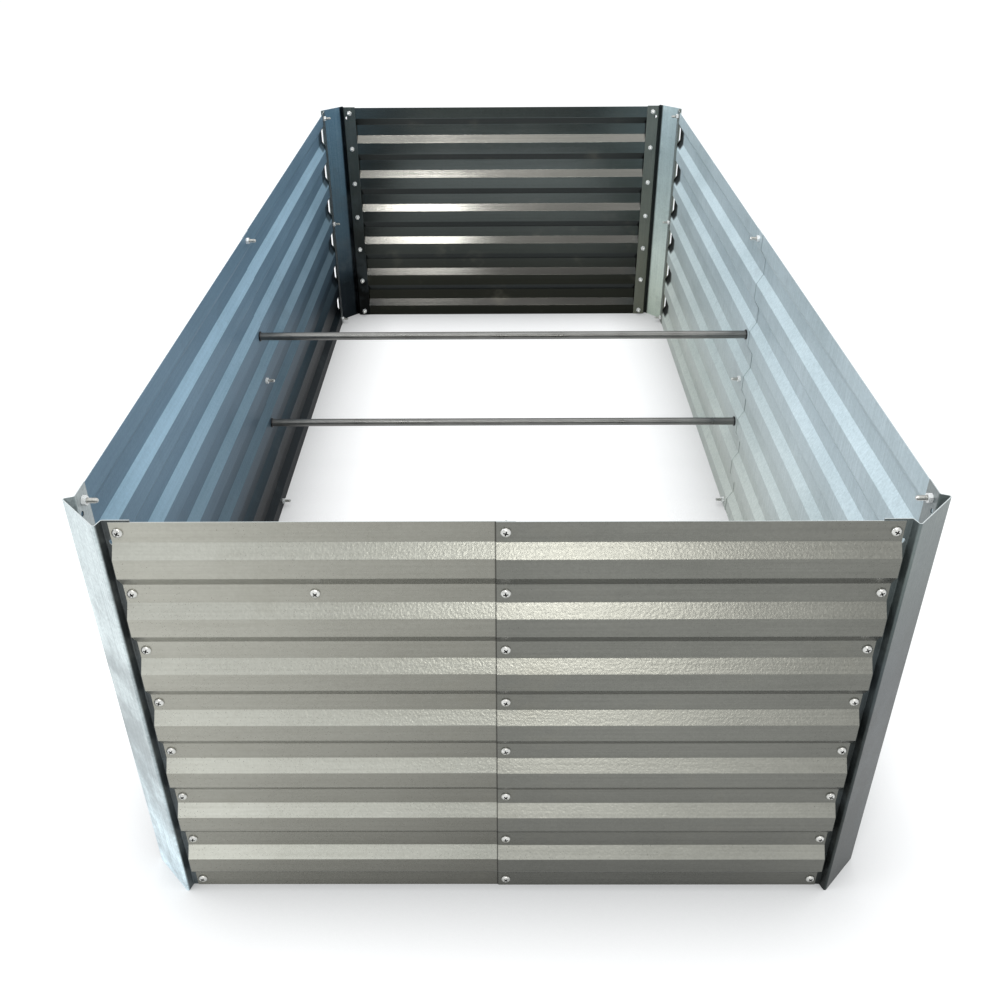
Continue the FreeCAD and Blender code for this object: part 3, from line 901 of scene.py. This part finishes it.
bolt_metal = plated("bolt_zinc", (0.45, 0.45, 0.43), (0.76, 0.76, 0.73), gloss=0.30)
# The recess is painted near black as its shade.
recess_shade_metal = plated("bolt_recess_shade", (0.02, 0.02, 0.02), (0.08, 0.08, 0.075), gloss=0.60)
nut_metal = plated("nut_zinc", (0.82, 0.82, 0.81), (1.0, 1.0, 0.98), gloss=0.24, metallic=0.3)
tube_metal = rod_steel("brace_tube")
plug_metal = black_fitting("plug_black")

# ---------------------------------------------------------------- the bed


def depth_of(node):
    low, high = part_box(node)
    return high.y - low.y


for node, material in SHEET_METAL.items():
    make_sheet(node, material)
for node in sorted(POST_METAL):
    make_post(node, POST_METAL[node])

bolt = finished_bolt(depth_of("front_lap_bolts") - HEAD_HEIGHT)
for node in BOLT_NODES:
    make_fasteners(node, bolt, [bolt_metal, recess_shade_metal], seat=HEAD_HEIGHT)
nut = finished_nut(depth_of("front_lap_nuts"))
for node in NUT_NODES:
    make_fasteners(node, nut, [nut_metal], seat=0)

for level in ("lower", "upper"):
    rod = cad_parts[f"{level}_brace_rod"]
    rod.data.materials.clear()
    rod.data.materials.append(tube_metal)
    make_plugs(f"{level}_rod_plugs", plug_metal)

# ---------------------------------------------------------------- floor, light and camera


def grey(level):
    return level, level, level, 1


def add_node(tree, kind, **values):
    """A node with the given values on its sockets."""
    node = tree.nodes.new(kind)
    for socket, given in values.items():
        node.inputs[socket].default_value = given
    return node


def white_to_the_eye(tree, plain, white):
    """Show one shader to the light and another one to the camera, mirrors and glass."""
    path = tree.nodes.new("ShaderNodeLightPath")
    seen = path.outputs["Is Camera Ray"]
    for output in ("Is Glossy Ray", "Is Transmission Ray"):
        either = tree.nodes.new("ShaderNodeMath")
        either.operation = "MAXIMUM"
        tree.links.new(seen, either.inputs[0])
        tree.links.new(path.outputs[output], either.inputs[1])
        seen = either.outputs["Value"]
    mix = tree.nodes.new("ShaderNodeMixShader")
    tree.links.new(seen, mix.inputs["Fac"])
    tree.links.new(plain.outputs[0], mix.inputs[1])
    tree.links.new(white.outputs[0], mix.inputs[2])
    return mix.outputs["Shader"]


def make_floor():
    """A white floor. The eye sees it lifted by a glow, which fades close to the bed as a painted
    shadow.
    """
    size = 30
    height = cad_box[0][2]
    fade_distance = 0.16
    mesh_code = bmesh.new()
    corners = (-size, -size), (size, -size), (size, size), (-size, size)
    mesh_code.faces.new([mesh_code.verts.new((x, y, height)) for x, y in corners])
    floor = as_object("floor", mesh_code)
    material = bpy.data.materials.new("floor_paint")
    material.use_nodes = True
    tree = material.node_tree
    tree.nodes.clear()
    paint = add_node(tree, "ShaderNodeBsdfDiffuse", Color=grey(0.80))
    thin_paint = add_node(tree, "ShaderNodeBsdfDiffuse", Color=grey(0.35))
    nearness = add_node(tree, "ShaderNodeAmbientOcclusion", Distance=fade_distance)
    glow = add_node(tree, "ShaderNodeEmission", Strength=0.80)
    tree.links.new(nearness.outputs["Color"], glow.inputs["Color"])
    lifted = tree.nodes.new("ShaderNodeAddShader")
    tree.links.new(thin_paint.outputs[0], lifted.inputs[0])
    tree.links.new(glow.outputs[0], lifted.inputs[1])
    output = tree.nodes.new("ShaderNodeOutputMaterial")
    tree.links.new(white_to_the_eye(tree, paint, lifted), output.inputs["Surface"])
    floor.data.materials.append(material)


def make_world():
    """A pale sky that the eye sees as white."""
    world = bpy.data.worlds.new("studio")
    bpy.context.scene.world = world
    world.use_nodes = True
    tree = world.node_tree
    tree.nodes.clear()
    plain = add_node(tree, "ShaderNodeBackground", Color=(0.90, 0.96, 1.0, 1), Strength=0.75)
    white = add_node(tree, "ShaderNodeBackground", Color=grey(1.0), Strength=1.0)
    output = tree.nodes.new("ShaderNodeOutputWorld")
    tree.links.new(white_to_the_eye(tree, plain, white), output.inputs["Surface"])


def softbox(name, place, target, width, height, watts, colour):
    """A rectangular lamp at a place, aimed at a target."""
    light = bpy.data.lights.new(name, "AREA")
    light.shape = "RECTANGLE"
    light.size = width
    light.size_y = height
    light.energy = watts
    light.color = colour
    lamp = bpy.data.objects.new(name, light)
    lamp.location = place
    lamp.rotation_euler = (Vector(target) - Vector(place)).to_track_quat("-Z", "Y").to_euler()
    bpy.context.scene.collection.objects.link(lamp)


def make_camera():
    """The photograph's camera: its place, its look down the bed, and its small lens shift."""
    place = Vector((-0.0054, -1.6772, 1.1307))
    pitch, roll, yaw = 0.53897, -0.00729, -0.00743              # radians, pitch downwards
    focal, centre_x, centre_y = 0.99147, 0.49369, 0.43756       # shares of the picture's width
    forward = Vector((math.sin(yaw) * math.cos(pitch), math.cos(yaw) * math.cos(pitch),
                      -math.sin(pitch)))
    level = Vector((math.cos(yaw), -math.sin(yaw), 0))
    upright = level.cross(forward)
    right = math.cos(roll) * level + math.sin(roll) * upright
    up = math.cos(roll) * upright - math.sin(roll) * level
    data = bpy.data.cameras.new("camera")
    data.sensor_fit = "HORIZONTAL"
    data.sensor_width = 36
    data.lens = focal * data.sensor_width
    data.shift_x = 0.5 - centre_x
    data.shift_y = centre_y - 0.5
    data.clip_end = 100
    camera = bpy.data.objects.new("camera", data)
    turn = Matrix((right, up, -forward)).transposed().to_4x4()
    camera.matrix_world = Matrix.Translation(place) @ turn
    bpy.context.scene.collection.objects.link(camera)
    bpy.context.scene.camera = camera


make_floor()
make_world()
softbox("left_softbox", place=(-3.4, -0.8, 2.4), target=(0.2, 0.1, 0.3),
        width=2.6, height=1.8, watts=70, colour=(0.93, 0.97, 1.0))
softbox("front_softbox", place=(0.40, -4.4, 2.45), target=(0.1, -0.9, 0.35),
        width=0.9, height=0.7, watts=22, colour=(1.0, 0.99, 0.95))
softbox("top_softbox", place=(-0.49, -2.27, 2.9), target=(-0.2, 0.9, 0.3),
        width=0.50, height=0.44, watts=15, colour=(1.0, 1.0, 1.0))
softbox("sky_softbox", place=(0, 0, 3.4), target=(0, 0, 0),
        width=2.4, height=2.4, watts=30, colour=(0.97, 0.99, 1.0))
make_camera()
bpy.context.scene.view_settings.view_transform = "Standard"
